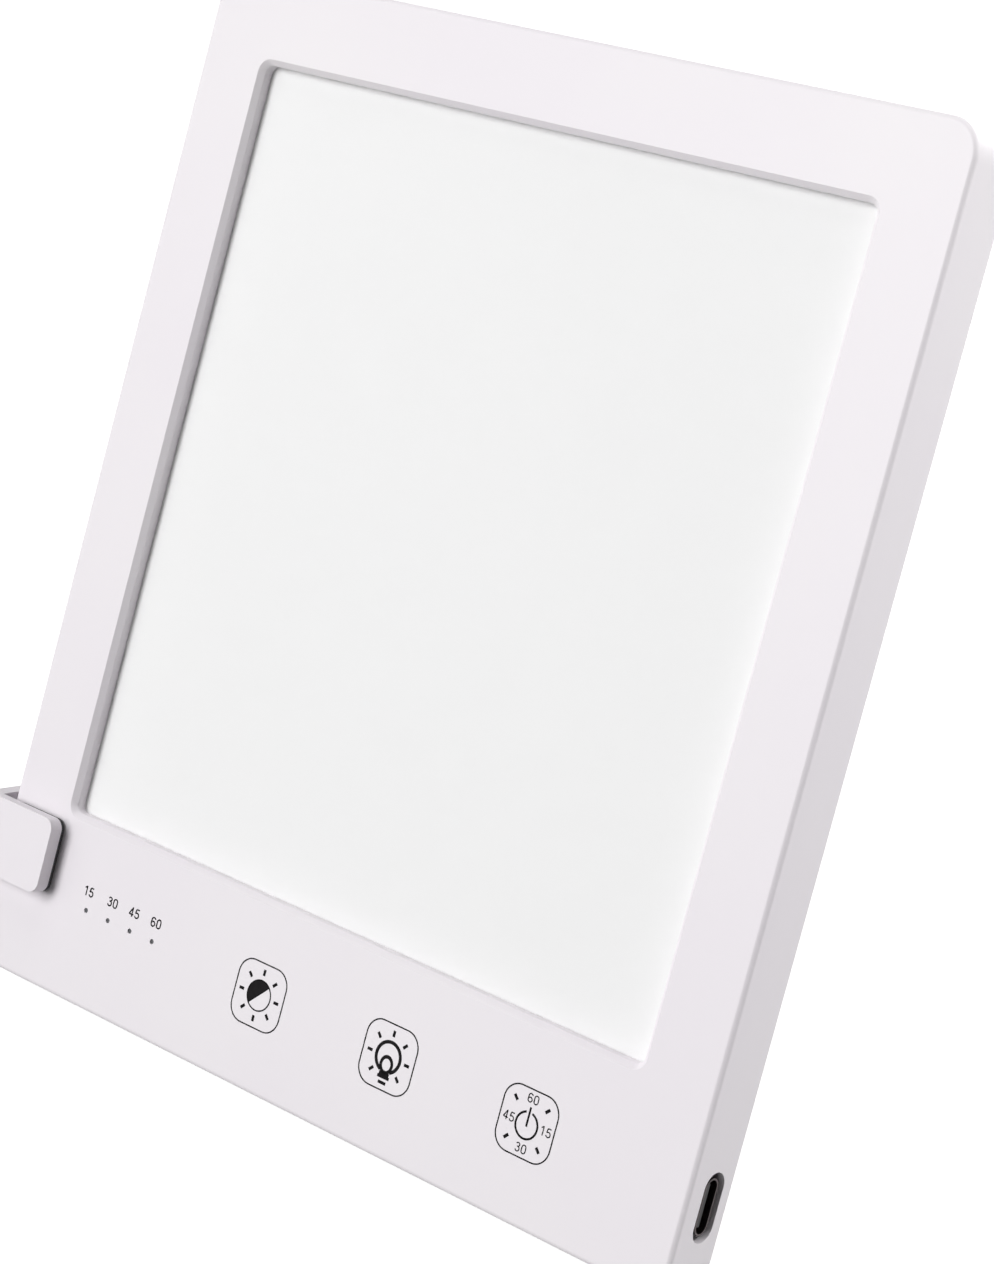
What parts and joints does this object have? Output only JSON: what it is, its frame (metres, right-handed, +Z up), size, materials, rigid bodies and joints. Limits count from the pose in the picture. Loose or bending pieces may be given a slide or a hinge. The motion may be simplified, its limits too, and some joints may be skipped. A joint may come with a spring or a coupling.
{
  "type": "light therapy lamp",
  "caption": "Thin edge-lit light therapy panel with touch keys and a recessed diffuser, leaning back on a slide-on bracket that hooks round one edge and carries a folding prop leg.",
  "frame": {"origin": "centre of the lamp's footprint box, on the surface that it stands on, with the leg open", "axes": "+Z up, -Y out of the lit face (the panel leans back towards +Y), +X to the right as seen from the front"},
  "size_m": [0.1546, 0.0872, 0.1654],
  "materials": {
    "shell_plastic": "fine satin moulded ABS, white with a faint lilac cast",
    "stand_plastic": "fine satin moulded ABS, white with a faint lilac cast",
    "diffuser_acrylic": "matt opal acrylic",
    "clear_film": "clear prismatic film",
    "guide_acrylic": "clear polished acrylic",
    "white_film": "white reflective film",
    "tray_aluminium": "mill finish sheet",
    "strip_board": "white solder mask",
    "led_phosphor": "yellow phosphor window",
    "foam": "closed-cell foam",
    "circuit_board": "green solder mask",
    "steel": "nickel-plated",
    "black_plastic": "moulded black",
    "ferrite": "sintered ferrite",
    "ceramic": "fired ceramic",
    "socket_nylon": "natural nylon",
    "lead_insulation": "PVC insulation",
    "smoked_acrylic": "smoked clear acrylic",
    "dark_rubber": "matt moulded rubber",
    "clear_silicone": "clear soft silicone",
    "washer_brass": "rolled"
  },
  "bodies": {
    "panel": {"front_shell": "shell_plastic", "back_cover": "shell_plastic", "diffuser": "diffuser_acrylic", "prism_film": "clear_film", "light_guide": "guide_acrylic", "reflector_film": "white_film", "light_tray": "tray_aluminium", "led_strip_left": "strip_board", "led_strip_right": "strip_board", "leds_left": "led_phosphor", "leds_right": "led_phosphor", "foam_strips": "foam", "main_board": "circuit_board", "usb_shell": "steel", "usb_insert": "black_plastic", "controller": "black_plastic", "inductor": "ferrite", "driver_chips": "black_plastic", "capacitors": "ceramic", "strip_sockets": "socket_nylon", "strip_leads": "lead_insulation", "indicator_leds": "led_phosphor", "light_pipes": "smoked_acrylic", "touch_pads": "foam", "board_screws": "steel", "case_screws": "steel", "base_feet": "clear_silicone"},
    "bracket": {"stand_bracket": "stand_plastic", "hook_pad": "dark_rubber", "hinge_pins": "steel", "hinge_washers": "washer_brass"},
    "leg": {"prop_leg": "stand_plastic", "leg_foot": "dark_rubber"}
  },
  "joints": [
    {"name": "bracket_slide", "type": "slide", "parent": "panel", "child": "bracket", "axis": [-1, 0, 0], "range_m": [0, 0.1]},
    {"name": "leg_fold", "type": "hinge", "parent": "bracket", "child": "leg", "pos_m": [0.00225, -0.01988, 0.01851], "axis": [1, 0, 0], "range_deg": [-20, 80.5]}
  ]
}
